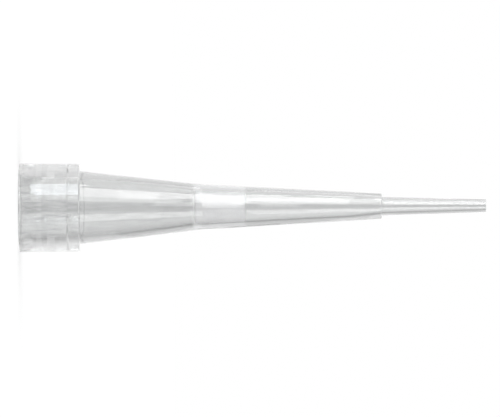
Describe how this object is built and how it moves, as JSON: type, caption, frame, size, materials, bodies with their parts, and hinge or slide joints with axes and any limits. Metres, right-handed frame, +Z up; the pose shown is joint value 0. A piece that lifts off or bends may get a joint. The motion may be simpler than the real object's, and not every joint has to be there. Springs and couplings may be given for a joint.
{
  "type": "filter pipette tip",
  "caption": "Filter pipette tip moulded in translucent plastic, with a plain collar, a stepped fine point and a white porous plug in its bore.",
  "frame": {"origin": "centre of the mouth rim, on the surface that the tip stands on", "axes": "+Z up along the tip's axis, from the mouth towards the orifice at the point; the tip is turned about it"},
  "size_m": [0.006, 0.006, 0.0315],
  "materials": {
    "polypropylene": "clear natural moulding, slightly hazy, smooth and glossy",
    "porous_polyethylene": "sintered fine white grain, matte"
  },
  "bodies": {
    "root": {"tip_body": "polypropylene", "filter_plug": "porous_polyethylene"}
  },
  "joints": []
}
